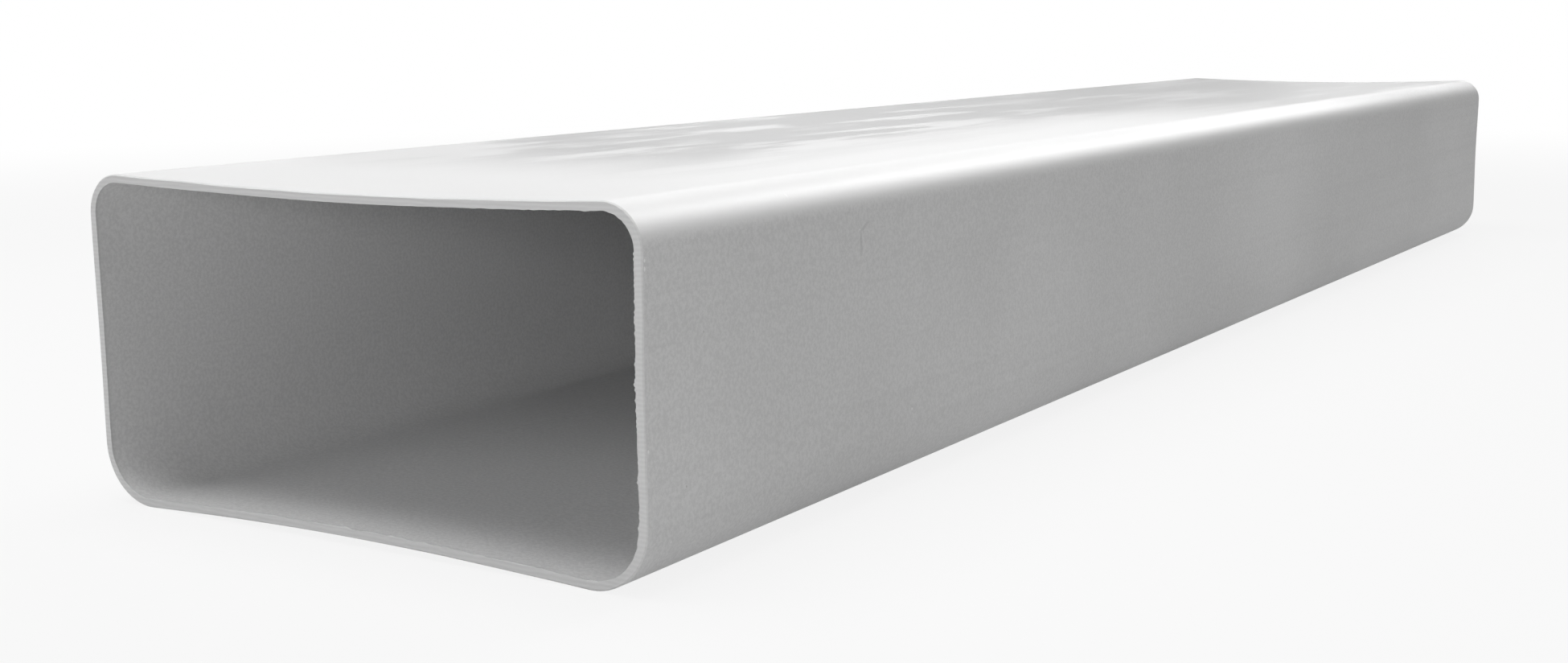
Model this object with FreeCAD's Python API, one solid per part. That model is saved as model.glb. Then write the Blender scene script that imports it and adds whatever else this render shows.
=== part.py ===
import FreeCAD, Part
import math
import os

# Flat channel duct: one extruded length of thin-walled plastic channel, sawn square and open at both ends.
# Millimetres. X runs across the width, Y along the length and Z up. The origin is at the bottom centre.

length = 500.0
outer_width = 110.0
outer_height = 54.0
wall = 1.3
top_corner_radius = 6.5  # outside of the two upper long corners
bottom_corner_radius = 10.0  # outside of the two lower long corners
top_dip = 0.9  # how far the upper wide wall sags inwards at its middle
bottom_dip = 1.0  # the same for the lower wide wall
end_break = 0.2  # chamfer round the outside of each sawn end
end_break_limit = 0.5  # largest share of the wall that the chamfer may take


def wide_side(corner_radius, dip, inset):
    """Points of one wide side's right half, as (across, outwards) from the line of its corner centres.

    The wide wall is one shallow arc, and each corner runs on past its quarter turn to meet it tangentially.
    The inset moves the outline inwards from the outer skin, with the same arc centres.
    """
    corner_centre = outer_width / 2 - corner_radius
    quarter_turn = math.pi / 2
    turn = quarter_turn + 2 * math.atan2(dip, corner_centre)
    radius = corner_radius - inset

    def on_corner(angle):
        return corner_centre + radius * math.cos(angle), radius * math.sin(angle)

    wall_middle = (0.0, radius - dip)
    return on_corner(0.0), on_corner(turn / 2), on_corner(turn), wall_middle


def wide_side_edges(points, dip):
    """Edges of a whole wide side, from its right corner over the wall to its left corner."""
    start, corner_middle, tangent, wall_middle = points

    def mirrored(point):
        return FreeCAD.Vector(-point.x, point.y, point.z)

    right_corner = Part.Arc(start, corner_middle, tangent)
    left_corner = Part.Arc(mirrored(tangent), mirrored(corner_middle), mirrored(start))
    if dip:
        wide_wall = Part.Arc(tangent, wall_middle, mirrored(tangent))
    else:
        wide_wall = Part.LineSegment(tangent, mirrored(tangent))
    return [curve.toShape() for curve in (right_corner, wide_wall, left_corner)]


def outline(inset):
    """Closed outline of the section in the plane of the front end, inset from the outer skin."""
    front = -length / 2
    top_line = outer_height - top_corner_radius
    bottom_line = bottom_corner_radius
    upper = wide_side(top_corner_radius, top_dip, inset)
    lower = wide_side(bottom_corner_radius, bottom_dip, inset)
    top = [FreeCAD.Vector(x, front, top_line + out) for x, out in upper]
    bottom = [FreeCAD.Vector(x, front, bottom_line - out) for x, out in lower]
    edges = wide_side_edges(top, top_dip) + wide_side_edges(bottom, bottom_dip)
    half_width = outer_width / 2 - inset
    for x in (-half_width, half_width):
        foot = FreeCAD.Vector(x, front, bottom_line)
        head = FreeCAD.Vector(x, front, top_line)
        edges.append(Part.makeLine(foot, head))
    return Part.Wire(Part.sortEdges(edges)[0])


def extruded_channel():
    """The section between its outer and inner outlines, carried along the whole length."""
    section = Part.makeFace([outline(0.0), outline(wall)], "Part::FaceMakerBullseye")
    return section.extrude(FreeCAD.Vector(0, length, 0))


def with_broken_ends(channel):
    """The channel with the outside edge of both sawn ends taken off by a small chamfer."""
    ends = [face for face in channel.Faces if abs(face.CenterOfMass.y) > length / 4]
    rims = [edge for face in ends for edge in face.OuterWire.Edges]
    return channel.makeChamfer(min(end_break, end_break_limit * wall), rims)


os.makedirs("parts", exist_ok=True)
channel_duct = with_broken_ends(extruded_channel())
channel_duct.exportStep("parts/channel_duct.step")
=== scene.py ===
import math

import bpy
import numpy as np
from mathutils import Matrix, Vector


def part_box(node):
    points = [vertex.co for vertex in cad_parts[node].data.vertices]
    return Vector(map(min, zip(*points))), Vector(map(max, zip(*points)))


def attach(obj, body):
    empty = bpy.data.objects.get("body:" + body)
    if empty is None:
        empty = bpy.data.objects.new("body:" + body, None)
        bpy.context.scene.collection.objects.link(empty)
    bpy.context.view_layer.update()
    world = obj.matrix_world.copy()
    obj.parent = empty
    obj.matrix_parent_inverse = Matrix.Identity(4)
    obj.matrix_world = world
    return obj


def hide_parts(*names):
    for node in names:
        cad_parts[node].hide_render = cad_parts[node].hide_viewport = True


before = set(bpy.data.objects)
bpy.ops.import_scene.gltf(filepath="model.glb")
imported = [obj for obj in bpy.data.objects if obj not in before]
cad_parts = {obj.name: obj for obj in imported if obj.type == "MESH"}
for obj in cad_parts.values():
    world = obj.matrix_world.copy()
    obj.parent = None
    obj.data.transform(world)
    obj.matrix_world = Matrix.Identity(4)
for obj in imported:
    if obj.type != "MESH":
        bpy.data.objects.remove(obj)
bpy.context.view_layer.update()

# Flat channel duct: one sawn length of extruded plastic channel.
# Metres, X across the width, Y along the length, Z up, with the open end of the photo at -Y.

scene = bpy.context.scene
scene.view_settings.view_transform = "Standard"
mm = 0.001


# The duct. Its section has the CAD part's own sizes, and its length, width and height
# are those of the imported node.
duct = {
    "wall": 1.3 * mm,
    "topCorner": 6.5 * mm,
    "bottomCorner": 10.0 * mm,
    "topDip": 0.9 * mm,
    "bottomDip": 1.0 * mm,
    "endBreak": 0.2 * mm,
    "breakSpread": 0.3,         # how unevenly the outer edge was scraped, as a share of its width
    "breakPitch": 7.0 * mm,
    "burr": {"right": 0.58 * mm, "top": 0.05 * mm, "left": 0.14 * mm, "bottom": 0.45 * mm},
    "burrPitches": (0.35 * mm, 1.1 * mm),   # of its fine teeth and its coarse nicks
    "burrGap": 0.3,             # height of the gaps between the teeth, as a share
    "waves": 0.28 * mm,         # depth of the gentle waves in the walls
    "waveLengths": (150 * mm, 110 * mm, 80 * mm, 62 * mm, 47 * mm, 39 * mm, 33 * mm),
    "cornerPoints": 24,
    "widePoints": 110,
    "rightPoints": 220,         # closer than on the left, for the teeth
    "leftPoints": 120,
    "outerRows": 84,
    "innerRows": 32,
    "crispAngle": math.radians(28),
    "nearSeed": 54,
    "farSeed": 64,
    "waveSeed": 54,
}

# Rows over a sawn end, from the outer skin to the inner one. The columns are:
# distance in from the end, in widths of the broken edge and in millimetres;
# depth under the outer skin, in broken edges, walls and burrs; and how sawn it looks.
endRows = np.array([
    (4.0, 0.00, 0.0, 0.0, 0.0, 0.0),
    (1.6, 0.00, 0.0, 0.0, 0.0, 0.0),
    (1.0, 0.00, 0.0, 0.0, 0.0, 0.4),
    (0.5, 0.00, 0.5, 0.0, 0.0, 0.6),
    (0.0, 0.00, 1.0, 0.0, 0.0, 1.0),
    (0.0, 0.00, 0.6, 0.4, 0.0, 1.0),
    (0.0, 0.00, 0.2, 0.8, 0.0, 1.0),
    (0.0, 0.00, 0.0, 1.0, 0.5, 1.0),
    (0.0, 0.06, 0.0, 1.0, 1.0, 1.0),
    (0.0, 0.20, 0.0, 1.0, 0.6, 0.8),
    (0.0, 0.45, 0.0, 1.0, 0.1, 0.2),
    (0.0, 1.20, 0.0, 1.0, 0.0, 0.0),
])


# How free a wall is to move in and out: the squared sine of half a turn,
# from 0 at both its ends to 1 in its middle.
def wallSlack(share):
    return np.sin(math.pi * share) ** 2


# A turning part of the section: centre + radius * outward normal, at even steps of the angle.
# A wall that sags inwards has a negative radius. A corner has no slack.
def turningPart(centre, radius, start, end, count):
    share = np.linspace(0, 1, count, endpoint=False)
    angle = start + (end - start) * share
    normals = np.stack([np.cos(angle), np.sin(angle)], axis=1)
    slack = wallSlack(share) if radius < 0 else np.zeros(count)
    return np.array(centre) + radius * normals, normals, slack


# A straight part of the section: start + share * (end - start).
def straightPart(start, end, normal, count):
    share = np.linspace(0, 1, count, endpoint=False)
    points = np.array(start) + share[:, None] * np.subtract(end, start)
    return points, np.tile(normal, (count, 1)).astype(float), wallSlack(share)


# Parts end to end: all their points, all their normals and all their slacks.
def joinParts(parts):
    return [np.concatenate(columns) for columns in zip(*parts)]


# One wide side from its right corner to its left one, across and outwards from the line of its
# corner centres. Each corner turns a right angle and a little more, the lean, to meet the wall,
# which is one arc that sags by the dip.
def wideSide(halfWidth, corner, dip):
    centre = halfWidth - corner
    lean = 2 * math.atan2(dip, centre)
    upright = math.pi / 2
    corners = duct["cornerPoints"]
    sagCentre = (0, centre / math.tan(lean))
    sagRadius = centre / math.sin(lean) - corner
    return joinParts([
        turningPart((centre, 0), corner, 0, upright + lean, corners),
        turningPart(sagCentre, -sagRadius, upright + lean, upright - lean, duct["widePoints"]),
        turningPart((-centre, 0), corner, upright - lean, math.pi, corners),
    ])


# The outer skin's section, anticlockwise from the foot of the right side:
# its points, their outward normals and their slack.
def ductSection(width, height):
    halfWidth = width / 2
    headLine, footLine = height - duct["topCorner"], duct["bottomCorner"]
    topPoints, topNormals, topSlack = wideSide(halfWidth, duct["topCorner"], duct["topDip"])
    bottomPoints, bottomNormals, bottomSlack = wideSide(halfWidth, duct["bottomCorner"], duct["bottomDip"])
    return joinParts([
        straightPart((halfWidth, footLine), (halfWidth, headLine), (1, 0), duct["rightPoints"]),
        (topPoints + (0, headLine), topNormals, topSlack),
        straightPart((-halfWidth, headLine), (-halfWidth, footLine), (-1, 0), duct["leftPoints"]),
        ((0, footLine) - bottomPoints, -bottomNormals, bottomSlack),
    ])


# Random heights from 0 to 1 at an even pitch round a closed line, joined by straight runs.
# Every second one is lowered to the given share, which makes teeth.
def raggedLine(distance, perimeter, pitch, gap, seed):
    count = 2 * round(perimeter / pitch / 2)
    heights = np.random.default_rng(seed).uniform(0, 1, count)
    heights[1::2] *= gap
    return np.interp(distance, np.arange(count) * perimeter / count, heights, period=perimeter)


# Gentle waves from 0 to 1: a sum of plane waves of the given lengths in random directions,
# each as high as it is long.
def gentleWaves(around, along, lengths, seed):
    draw = np.random.default_rng(seed)
    lengths = np.array(lengths)[:, None, None]
    heading = draw.uniform(0, math.pi, lengths.shape)
    start = draw.uniform(0, 2 * math.pi, lengths.shape)
    run = around * np.cos(heading) + along * np.sin(heading)
    field = (lengths * np.sin(2 * math.pi * run / lengths + start)).sum(axis=0)
    return 0.5 + 0.5 * field / lengths.sum()


# Rows between two edges of a skin: an even share of the way from the one to the other.
def skinRows(start, end, count):
    share = np.linspace(0, 1, count + 2)[1:-1]
    return start[:, None] * (1 - share) + end[:, None] * share


# A surface that closes on itself both ways: a grid of quads whose last row and column join its first.
def closedGrid(name, points):
    around, across = points.shape[:2]
    here = np.arange(around * across).reshape(around, across)
    beside = np.roll(here, -1, axis=0)
    quads = np.stack([here, beside, np.roll(beside, -1, axis=1), np.roll(here, -1, axis=1)], axis=-1)
    mesh = bpy.data.meshes.new(name)
    mesh.from_pydata(points.reshape(-1, 3).tolist(), [], quads.reshape(-1, 4).tolist())
    mesh.shade_smooth()
    piece = bpy.data.objects.new(name, mesh)
    scene.collection.objects.link(piece)
    return piece


# One value for each point of a piece, which its material reads by name.
def pointValue(piece, name, values):
    layer = piece.data.attributes.new(name, "FLOAT", "POINT")
    layer.data.foreach_set("value", np.ascontiguousarray(values, dtype=np.float32).ravel())


# The whole duct as one surface. Each point of the section is carried over the near end, along the
# outer skin, over the far end and back along the inner skin: outline - depth * normal, at its place along.
def makeDuct():
    low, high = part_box("channel_duct")
    size = high - low
    outline, normals, slack = ductSection(size.x, size.z)
    steps = np.linalg.norm(np.roll(outline, -1, axis=0) - outline, axis=1)
    perimeter = steps.sum()
    distance = np.cumsum(steps) - steps

    # the burr's height changes evenly from the middle of each side to the next, a quarter of the way round
    rightMiddle = size.z / 2 - duct["bottomCorner"]
    middles = rightMiddle + perimeter * np.arange(4) / 4
    heights = [duct["burr"][side] for side in ("right", "top", "left", "bottom")]
    burrHeight = np.interp(distance, middles, heights, period=perimeter)

    # distance in from the end and depth under the outer skin, for each point of the section and each row
    def sawnEnd(seed):
        scrape = raggedLine(distance, perimeter, duct["breakPitch"], 1, seed)
        edge = duct["endBreak"] * (1 + duct["breakSpread"] * (2 * scrape[:, None] - 1))
        teeth, nicks = (
            raggedLine(distance, perimeter, pitch, duct["burrGap"], seed + 1)
            for pitch in duct["burrPitches"])
        burr = (burrHeight * (teeth + nicks) / 2)[:, None]
        inwards = edge * endRows[:, 0] + endRows[:, 1] * mm
        depth = edge * endRows[:, 2] + duct["wall"] * endRows[:, 3] + burr * endRows[:, 4]
        return inwards, depth

    nearIn, nearDepth = sawnEnd(duct["nearSeed"])
    farIn, farDepth = sawnEnd(duct["farSeed"])
    nearY, farY = low.y + nearIn, high.y - farIn
    outerY = skinRows(nearY[:, 0], farY[:, 0], duct["outerRows"])
    innerY = skinRows(farY[:, -1], nearY[:, -1], duct["innerRows"])
    outerZero, innerZero = np.zeros(duct["outerRows"]), np.zeros(duct["innerRows"])
    along = np.concatenate([nearY[:, ::-1], outerY, farY, innerY], axis=1)
    depth = np.concatenate([nearDepth[:, ::-1], outerY * 0, farDepth, innerY * 0 + duct["wall"]], axis=1)
    sawn = np.concatenate([endRows[::-1, 5], outerZero, endRows[:, 5], innerZero])
    inside = np.concatenate([endRows[::-1, 3], outerZero, endRows[:, 3], innerZero + 1])

    waves = gentleWaves(distance[:, None], along, duct["waveLengths"], duct["waveSeed"])
    depth = depth + duct["waves"] * slack[:, None] * waves
    points = np.empty(depth.shape + (3,))
    points[..., 0] = outline[:, 0:1] - depth * normals[:, 0:1]
    points[..., 1] = along
    points[..., 2] = low.z + outline[:, 1:2] - depth * normals[:, 1:2]
    piece = closedGrid("ductChannel", points)
    piece.data.set_sharp_from_angle(angle=duct["crispAngle"])
    pointValue(piece, "sawn", np.broadcast_to(sawn, depth.shape))
    pointValue(piece, "inside", np.broadcast_to(inside, depth.shape))
    pointValue(piece, "upper", np.clip(normals[:, 1:2], 0, 1) * (1 - inside))   # how far it faces up
    return piece


# A node with its settings and inputs. An input is a value, or another node's output to link.
def addNode(tree, kind, inputs=None, **settings):
    made = tree.nodes.new(kind)
    for name, value in settings.items():
        setattr(made, name, value)
    for name, value in (inputs or {}).items():
        if isinstance(value, bpy.types.NodeSocket):
            tree.links.new(value, made.inputs[name])
        else:
            made.inputs[name].default_value = value
    return made


def startMaterial(name):
    material = bpy.data.materials.new(name)
    material.use_nodes = True
    material.node_tree.nodes.clear()
    return material, material.node_tree


def grey(level):
    return (level, level, level, 1)


# The sum, product, difference or maximum of two or more values, from the first on.
def combine(tree, operation, first, *others):
    for other in others:
        first = addNode(tree, "ShaderNodeMath", {0: first, 1: other}, operation=operation).outputs[0]
    return first


# a + factor * (b - a), for colours and for plain numbers
def blendTones(tree, factor, first, second, blend="MIX"):
    inputs = {0: factor, 6: first, 7: second}
    return addNode(tree, "ShaderNodeMix", inputs, data_type="RGBA", blend_type=blend).outputs[2]


def blendNumbers(tree, factor, first, second):
    inputs = {0: factor, 2: first, 3: second}
    return addNode(tree, "ShaderNodeMix", inputs, data_type="FLOAT").outputs[0]


# Brings a range of values to 0 to 1, smoothly, or to another range.
def spread(tree, value, low, high, toLow=0.0, toHigh=1.0, soft=True):
    return addNode(tree, "ShaderNodeMapRange", {
        "Value": value, "From Min": low, "From Max": high, "To Min": toLow, "To Max": toHigh,
    }, interpolation_type="SMOOTHSTEP" if soft else "LINEAR").outputs["Result"]


def noise(tree, place, scale=1.0, detail=2.0, roughness=0.5):
    return addNode(tree, "ShaderNodeTexNoise", {
        "Vector": place, "Scale": scale, "Detail": detail, "Roughness": roughness,
    }).outputs["Fac"]


def stretched(tree, place, scales):
    return addNode(tree, "ShaderNodeMapping", {"Vector": place, "Scale": scales}).outputs["Vector"]


def lengthOf(tree, place):
    return addNode(tree, "ShaderNodeVectorMath", {0: place}, operation="LENGTH").outputs["Value"]


# The plastic: pale grey PVC, satin from the die, duller inside and where it was sawn, with a few marks
# of handling. Colours are grey levels, scales are in waves per metre, places in metres and heights in
# millimetres. What ends in From says where in its pattern a thing begins to show and where it is full.
plastic = {
    "skinColour": 0.775,
    "skinGloss": (0.46, 0.56),       # on the plain skin and in its clouds
    "cloudColour": 0.725,
    "cloudScale": 13,
    "cloudFrom": (0.3, 0.7),
    "lineColour": 0.69,
    "lineStretch": (420, 2.5, 420),
    "lineFrom": (0.45, 0.8),
    "lineStrength": 0.5,
    "lineHeight": 0.004,
    "peelScale": 620,
    "peelHeight": 0.003,
    "grainShade": 0.83,              # the grain's dark spots, as a share of the tone they lie on
    "grainScale": 1700,
    "grainFrom": (0.35, 0.65),
    "grainStrength": 0.72,
    # painted fill light: the bore is given a plain tone a little lighter than the skin
    "insideFillLightColour": 0.79,
    "insideGloss": 0.55,
    "flatFrom": (0.94, 0.998),       # how far upright a surface has to face to count as the flat top
    # painted dim reflection: where the top is not scuffed, it is painted darker
    "shinyDimReflectionColour": 0.66,             # of the top where it is not scuffed
    "shinyGloss": 0.29,
    # painted highlight: the scuffed top and the polished upper corners get this paler, even tone
    "scuffHighlightColour": 0.78,
    "scuffGloss": 0.46,
    "scuffMouth": (-0.224, -0.152),  # the top is scuffed dull from the mouth to about here along,
    "scuffRight": (-0.006, 0.036),   # and from about here across to its right corner,
    "scuffFade": (-0.060, 0.090),    # which fades out about here along
    "scuffWander": 0.030,            # how far those places wander
    "wanderScale": 0.5,              # and how slowly, against the streaks
    # painted reflection: the streaks on the shiny top are painted paler
    "streakReflectionColour": 0.84,
    "streakStretch": (95, 13, 95),
    "streakFrom": (0.48, 0.62),
    "streakFade": (-0.090, 0.060),   # where the streaks grow faint along,
    "streakLeft": 0.3,               # and what is left of them beyond
    "streakDull": 0.65,              # how far a streak is scuffed
    "cornerGloss": 0.38,
    # the upper corners' polish also paints them paler, a painted highlight, which fades out along with it
    "cornerFrom": (0.05, 0.45),      # how far upright the upper corners' polish begins
    "cornerUntil": (0.68, 0.92),     # and ends,
    "cornerFade": (0.050, 0.225),    # and where it fades out along
    "sawnColour": 0.67,
    "sawnGloss": 0.62,
    "sawColour": 0.62,               # of the saw's marks on the cut
    "sawScale": 450,
    "sawHeight": 0.012,
    "speckColour": 0.30,
    "speckScale": 105,
    "speckSize": (0.012, 0.030),     # in cells of the specks' pattern
    "speckFrom": (0.80, 0.95),       # which of the cells have a speck
    "speckStrength": 0.6,
    "markDepth": 1.0,                # how deep a mark reaches, in millimetres
    "markEdge": 0.45,                # where a mark begins to fade, as a share of its size
    "refraction": 1.52,
}

# Marks on the right side. Each oval is given in millimetres: its place, its half sizes along and up,
# and its lean from upright in degrees.
marks = {
    "scratch": {"colour": 0.30, "strength": 0.24, "ovals": (
        ((55.0, -191.9, 42.5), (0.55, 2.7), 3),
        ((55.0, -190.7, 45.2), (0.42, 1.8), -62),   # its hook
    )},
    "dark": {"colour": 0.30, "strength": 0.6, "ovals": (
        ((55.0, -235.9, 34.9), (0.16, 0.22), 0),
        ((55.0, -223.2, 33.1), (0.14, 0.18), 0),
        ((55.0, -240.8, 14.0), (0.15, 0.24), 0),
    )},
    "pale": {"colour": 0.90, "strength": 1.0, "ovals": (
        ((55.0, -192.4, 44.8), (0.20, 0.22), 0),    # at the scratch's head
        ((55.0, -174.9, 13.0), (0.28, 0.30), 0),
        ((54.4, -244.0, 6.8), (0.20, 0.26), 0),
        ((53.4, -211.7, 51.7), (0.15, 0.40), 20),
        ((55.0, -249.4, 20.6), (0.25, 0.35), 0),    # three on the outer edge of the saw cut
        ((55.0, -249.5, 46.3), (0.25, 0.32), 0),
        ((55.0, -249.5, 45.2), (0.25, 0.45), 0),
    )},
}


# Each oval is 1 at its middle and fades to 0 at its half sizes, and the strongest counts.
def strongestOval(tree, place, ovals):
    shades = []
    for middle, halves, lean in ovals:
        own = addNode(tree, "ShaderNodeMapping", {
            "Vector": place,
            "Location": Vector(middle) * mm,
            "Rotation": (math.radians(lean), 0, 0),
            "Scale": Vector((plastic["markDepth"], *halves)) * mm,
        }, vector_type="TEXTURE").outputs["Vector"]
        shades.append(spread(tree, lengthOf(tree, own), plastic["markEdge"], 1, 1, 0))
    return combine(tree, "MAXIMUM", *shades)


# Wear of the top and its corners, each from 0 to 1: streaks along the top, scuffs near the mouth and
# towards the right corner as well as in the streaks, and the polish of the upper corners. Besides setting
# the gloss, the scuffs and the polish place a painted highlight in the colour, and the streaks a painted
# reflection.
def topWearAndHighlights(tree, place, upper):
    look = plastic
    lengthened = stretched(tree, place, look["streakStretch"])
    wander = noise(tree, lengthened, look["wanderScale"], detail=4, roughness=0.6)
    wander = spread(tree, wander, 0, 1, -look["scuffWander"], look["scuffWander"], soft=False)
    split = addNode(tree, "ShaderNodeSeparateXYZ", {"Vector": place}).outputs
    along = combine(tree, "ADD", split["Y"], wander)
    across = combine(tree, "ADD", split["X"], wander)
    streaks = spread(tree, noise(tree, lengthened, detail=5, roughness=0.6), *look["streakFrom"])
    faint = spread(tree, along, *look["streakFade"], 1, look["streakLeft"])
    streaks = combine(tree, "MULTIPLY", streaks, faint)
    nearMouth = spread(tree, along, *look["scuffMouth"], 1, 0)
    nearRight = spread(tree, across, *look["scuffRight"])
    nearRight = combine(tree, "MULTIPLY", nearRight, spread(tree, along, *look["scuffFade"], 1, 0))
    inStreaks = combine(tree, "MULTIPLY", streaks, look["streakDull"])
    scuffsAndHighlights = combine(tree, "MAXIMUM", nearMouth, nearRight, inStreaks)
    polishAndHighlight = spread(tree, split["Y"], *look["cornerFade"], 1, 0)
    polishAndHighlight = combine(tree, "MULTIPLY", polishAndHighlight, spread(tree, upper, *look["cornerFrom"]))
    return streaks, scuffsAndHighlights, polishAndHighlight


# Specks: a small dot at the middle of a few cells.
def fineSpecks(tree, place):
    cells = addNode(tree, "ShaderNodeTexVoronoi", {"Vector": place, "Scale": plastic["speckScale"]})
    pick = addNode(tree, "ShaderNodeSeparateColor", {"Color": cells.outputs["Color"]}).outputs[0]
    dots = spread(tree, cells.outputs["Distance"], *plastic["speckSize"], 1, 0)
    chosen = spread(tree, pick, *plastic["speckFrom"], 0, plastic["speckStrength"])
    return combine(tree, "MULTIPLY", dots, chosen)


def makePlastic():
    material, tree = startMaterial("paleGreyPlastic")
    look = plastic
    place = addNode(tree, "ShaderNodeTexCoord").outputs["Object"]
    sawn, inside, upper = (
        addNode(tree, "ShaderNodeAttribute", attribute_name=name).outputs["Fac"]
        for name in ("sawn", "inside", "upper"))

    # patterns: clouds in the mix, die lines along the length, fine grain, the skin's peel, saw marks
    clouds = spread(tree, noise(tree, place, look["cloudScale"], detail=4), *look["cloudFrom"])
    lines = noise(tree, stretched(tree, place, look["lineStretch"]), detail=3)
    grain = noise(tree, place, look["grainScale"], detail=3, roughness=0.7)
    peel = noise(tree, place, look["peelScale"])
    sawMarks = addNode(tree, "ShaderNodeTexWave", {
        "Vector": place, "Scale": look["sawScale"], "Distortion": 4, "Detail": 2, "Detail Scale": 0.4,
    }, bands_direction="Z").outputs["Fac"]

    # the flat top is scuffed or shiny, and the upper corners are polished; besides the gloss, these place
    # painted highlights, painted reflections and a painted dim reflection in the colour
    flat = spread(tree, upper, *look["flatFrom"])
    streaks, scuffsAndHighlights, polishAndHighlight = topWearAndHighlights(tree, place, upper)
    scuffed = combine(tree, "MULTIPLY", scuffsAndHighlights, flat)
    shinyAndDimmed = combine(tree, "SUBTRACT", flat, scuffed)
    paintedHighlight = blendNumbers(tree, flat, polishAndHighlight, scuffsAndHighlights)
    polished = combine(tree, "MULTIPLY", polishAndHighlight, spread(tree, upper, *look["cornerUntil"], 1, 0))

    # colour, from the plain skin up to the marks
    lineShare = spread(tree, lines, *look["lineFrom"], 0, look["lineStrength"])
    grainShare = spread(tree, grain, *look["grainFrom"], 0, look["grainStrength"])
    sawnTone = blendTones(tree, sawMarks, grey(look["sawnColour"]), grey(look["sawColour"]))
    tone = blendTones(tree, clouds, grey(look["skinColour"]), grey(look["cloudColour"]))
    tone = blendTones(tree, lineShare, tone, grey(look["lineColour"]))
    # painted fill light: the bore is painted a little lighter, without clouds or lines
    tone = blendTones(tree, inside, tone, grey(look["insideFillLightColour"]))
    tone = blendTones(tree, grainShare, tone, grey(look["grainShade"]), "MULTIPLY")
    # painted highlight: the scuffed top and the polished upper corners are painted paler
    tone = blendTones(tree, paintedHighlight, tone, grey(look["scuffHighlightColour"]))
    # painted dim reflection: the shiny top is painted darker, besides being glossier
    tone = blendTones(tree, shinyAndDimmed, tone, grey(look["shinyDimReflectionColour"]))
    # painted reflection: paler streaks on the shiny top
    tone = blendTones(tree, combine(tree, "MULTIPLY", streaks, shinyAndDimmed), tone, grey(look["streakReflectionColour"]))
    tone = blendTones(tree, sawn, tone, sawnTone)
    tone = blendTones(tree, fineSpecks(tree, place), tone, grey(look["speckColour"]))
    for mark in marks.values():
        shade = combine(tree, "MULTIPLY", strongestOval(tree, place, mark["ovals"]), mark["strength"])
        tone = blendTones(tree, shade, tone, grey(mark["colour"]))

    # gloss: satin skin, shinier where the top is not scuffed, duller in the bore and on the saw cut
    gloss = blendNumbers(tree, clouds, *look["skinGloss"])
    gloss = blendNumbers(tree, polished, gloss, look["cornerGloss"])
    gloss = blendNumbers(tree, scuffed, gloss, look["scuffGloss"])
    gloss = blendNumbers(tree, shinyAndDimmed, gloss, look["shinyGloss"])
    gloss = blendNumbers(tree, inside, gloss, look["insideGloss"])
    gloss = blendNumbers(tree, sawn, gloss, look["sawnGloss"])

    # relief in millimetres: the skin's peel, the die lines and the saw's marks
    peelRelief = combine(tree, "MULTIPLY", peel, look["peelHeight"])
    lineRelief = combine(tree, "MULTIPLY", lines, look["lineHeight"])
    sawRelief = combine(tree, "MULTIPLY", sawMarks, sawn, look["sawHeight"])
    relief = combine(tree, "ADD", peelRelief, lineRelief, sawRelief)
    bump = addNode(tree, "ShaderNodeBump", {"Height": relief, "Strength": 1.0, "Distance": mm})

    shader = addNode(tree, "ShaderNodeBsdfPrincipled", {
        "Base Color": tone, "Roughness": gloss, "Normal": bump.outputs["Normal"], "IOR": look["refraction"]})
    addNode(tree, "ShaderNodeOutputMaterial", {"Surface": shader.outputs["BSDF"]})
    return material


channel = makeDuct()
channel.data.materials.append(makePlastic())
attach(channel, "root")
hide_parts("channel_duct")
print("duct:", len(channel.data.vertices), "points,", 2 * len(channel.data.polygons), "triangles")


# The floor: pale, and white to the eye and in reflections, with the duct's shadow kept.
floor = {
    "reach": 15.0,
    "colour": 0.55,
    "whiteShare": (0.86, 1.0),      # how much of what is seen is plain white, beside the duct and far from it
    "whiteFrom": (0.35, 0.95),      # and how far out that changes
}


def makeFloor():
    reach = floor["reach"]
    mesh = bpy.data.meshes.new("floor")
    corners = [(-reach, -reach, 0), (reach, -reach, 0), (reach, reach, 0), (-reach, reach, 0)]
    mesh.from_pydata(corners, [], [(0, 1, 2, 3)])
    piece = bpy.data.objects.new("floor", mesh)
    scene.collection.objects.link(piece)
    material, tree = startMaterial("paleFloor")
    mesh.materials.append(material)
    rays = addNode(tree, "ShaderNodeLightPath").outputs
    seen = combine(
        tree, "MAXIMUM", rays["Is Camera Ray"], rays["Is Glossy Ray"], rays["Is Transmission Ray"])
    place = addNode(tree, "ShaderNodeTexCoord").outputs["Object"]
    whiteShare = spread(tree, lengthOf(tree, place), *floor["whiteFrom"], *floor["whiteShare"])
    share = combine(tree, "MULTIPLY", seen, whiteShare)
    paint = addNode(tree, "ShaderNodeBsdfDiffuse", {"Color": grey(floor["colour"])})
    white = addNode(tree, "ShaderNodeEmission", {"Color": grey(1), "Strength": 1})
    mixed = addNode(tree, "ShaderNodeMixShader", {0: share, 1: paint.outputs[0], 2: white.outputs[0]})
    addNode(tree, "ShaderNodeOutputMaterial", {"Surface": mixed.outputs[0]})
    return piece


# The surround: white to the eye. As light and in the duct's gloss it is white low down and dim above,
# like a studio's ceiling. Each pair is a height of the direction, as its sine, and the level there.
surround = ((0.0, 1.0), (0.015, 1.0), (0.035, 0.115), (1.0, 0.115))


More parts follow.
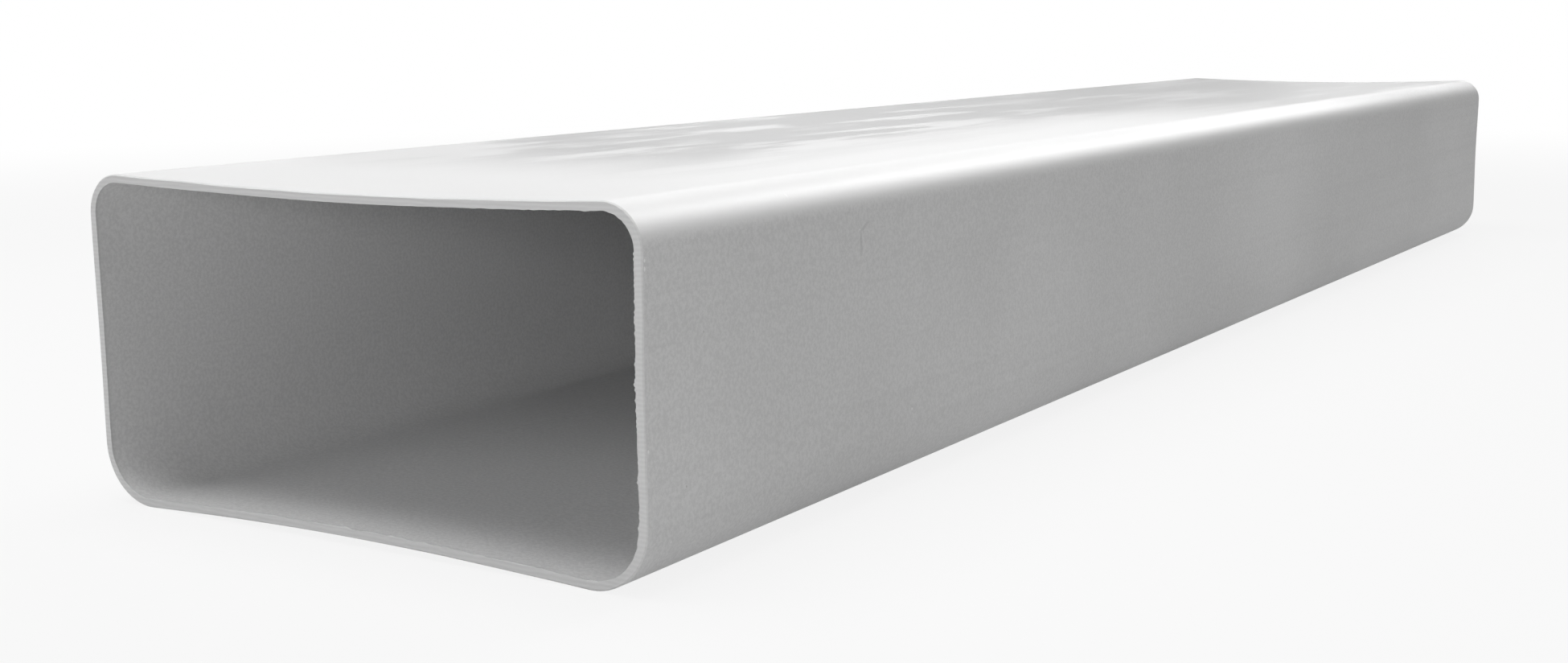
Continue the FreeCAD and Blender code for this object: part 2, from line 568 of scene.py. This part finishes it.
def makeSurround():
    world = bpy.data.worlds.new("softSurround")
    scene.world = world
    world.use_nodes = True
    tree = world.node_tree
    tree.nodes.clear()
    toward = addNode(tree, "ShaderNodeTexCoord").outputs["Generated"]
    split = addNode(tree, "ShaderNodeSeparateXYZ", {"Vector": toward})
    ramp = addNode(tree, "ShaderNodeValToRGB", {"Fac": split.outputs["Z"]})
    stops = ramp.color_ramp.elements
    while len(stops) < len(surround):
        stops.new(0.5)      # its own place follows
    for stop, (height, level) in zip(stops, surround):
        stop.position = height
        stop.color = grey(level)
    rays = addNode(tree, "ShaderNodeLightPath").outputs
    seen = combine(tree, "MAXIMUM", rays["Is Camera Ray"], rays["Is Transmission Ray"])
    tone = blendTones(tree, seen, ramp.outputs["Color"], grey(1))
    back = addNode(tree, "ShaderNodeBackground", {"Color": tone, "Strength": 1})
    addNode(tree, "ShaderNodeOutputWorld", {"Surface": back.outputs[0]})


# Soft lamps: where each one's middle is, what it points at, its width and height, and its power in watts.
lamps = {
    "overheadLamp": {
        "place": (-0.12, -0.22, 0.7), "aim": (-0.05, -0.2, 0.05), "size": (0.44, 0.6), "power": 4.75},
    "lowBackLamp": {
        "place": (-0.19, 2.09, 0.73), "aim": (0, -0.1, 0.05), "size": (0.78, 0.42), "power": 3.3},
    "highBackLamp": {
        "place": (0.32, 2.1, 1.63), "aim": (0, -0.1, 0.05), "size": (1.2, 0.81), "power": 15.8},
    "rightBackLamp": {
        "place": (0.62, 1.99, 0.98), "aim": (0, -0.1, 0.05), "size": (0.95, 0.7), "power": 7.0},
    "leftBackLamp": {
        "place": (-0.93, 1.89, 1.05), "aim": (0, -0.1, 0.05), "size": (0.9, 0.5), "power": 3.8},
    "frontLamp": {
        "place": (0.40, -0.95, 0.14), "aim": (0, -0.2, 0.03), "size": (0.25, 0.15), "power": 1.36},
    "leftFrontLamp": {
        "place": (-0.75, -1.85, 0.75), "aim": (0, -0.2, 0.03), "size": (1.9, 1.2), "power": 8.2},
}


def makeLamp(name, place, aim, size, power):
    light = bpy.data.lights.new(name, "AREA")
    light.shape = "RECTANGLE"
    light.size, light.size_y = size
    light.energy = power
    holder = bpy.data.objects.new(name, light)
    toward = Vector(aim) - Vector(place)
    holder.rotation_euler = toward.to_track_quat("-Z", "Y").to_euler()
    holder.location = place
    scene.collection.objects.link(holder)


makeFloor()
makeSurround()
for name, settings in lamps.items():
    makeLamp(name, **settings)
print("stage: floor, surround and", len(lamps), "lamps")


# The camera: where the photo's edges put it, for a picture 1950 pixels wide.
view = {
    "place": (0.200075, -0.447561, 0.077297),
    "turn": math.radians(31.968),   # left of straight along the duct
    "tilt": math.radians(9.404),    # down from level
    "roll": math.radians(0.5),
    "focal": 2338.83 / 1950,        # in widths of the picture
    "sensor": 36.0,
    "nearest": 0.01,                # nothing nearer than this is drawn
}


def makeCamera():
    data = bpy.data.cameras.new("camera")
    data.sensor_fit = "HORIZONTAL"
    data.sensor_width = view["sensor"]
    data.lens = view["focal"] * view["sensor"]
    data.clip_start = view["nearest"]
    holder = bpy.data.objects.new("camera", data)
    turn = Matrix.Rotation(view["turn"], 4, "Z")
    tilt = Matrix.Rotation(math.pi / 2 - view["tilt"], 4, "X")
    roll = Matrix.Rotation(-view["roll"], 4, "Z")
    holder.matrix_world = Matrix.Translation(view["place"]) @ turn @ tilt @ roll
    scene.collection.objects.link(holder)
    scene.camera = holder


makeCamera()
print("camera: lens of", round(scene.camera.data.lens, 1), "mm")
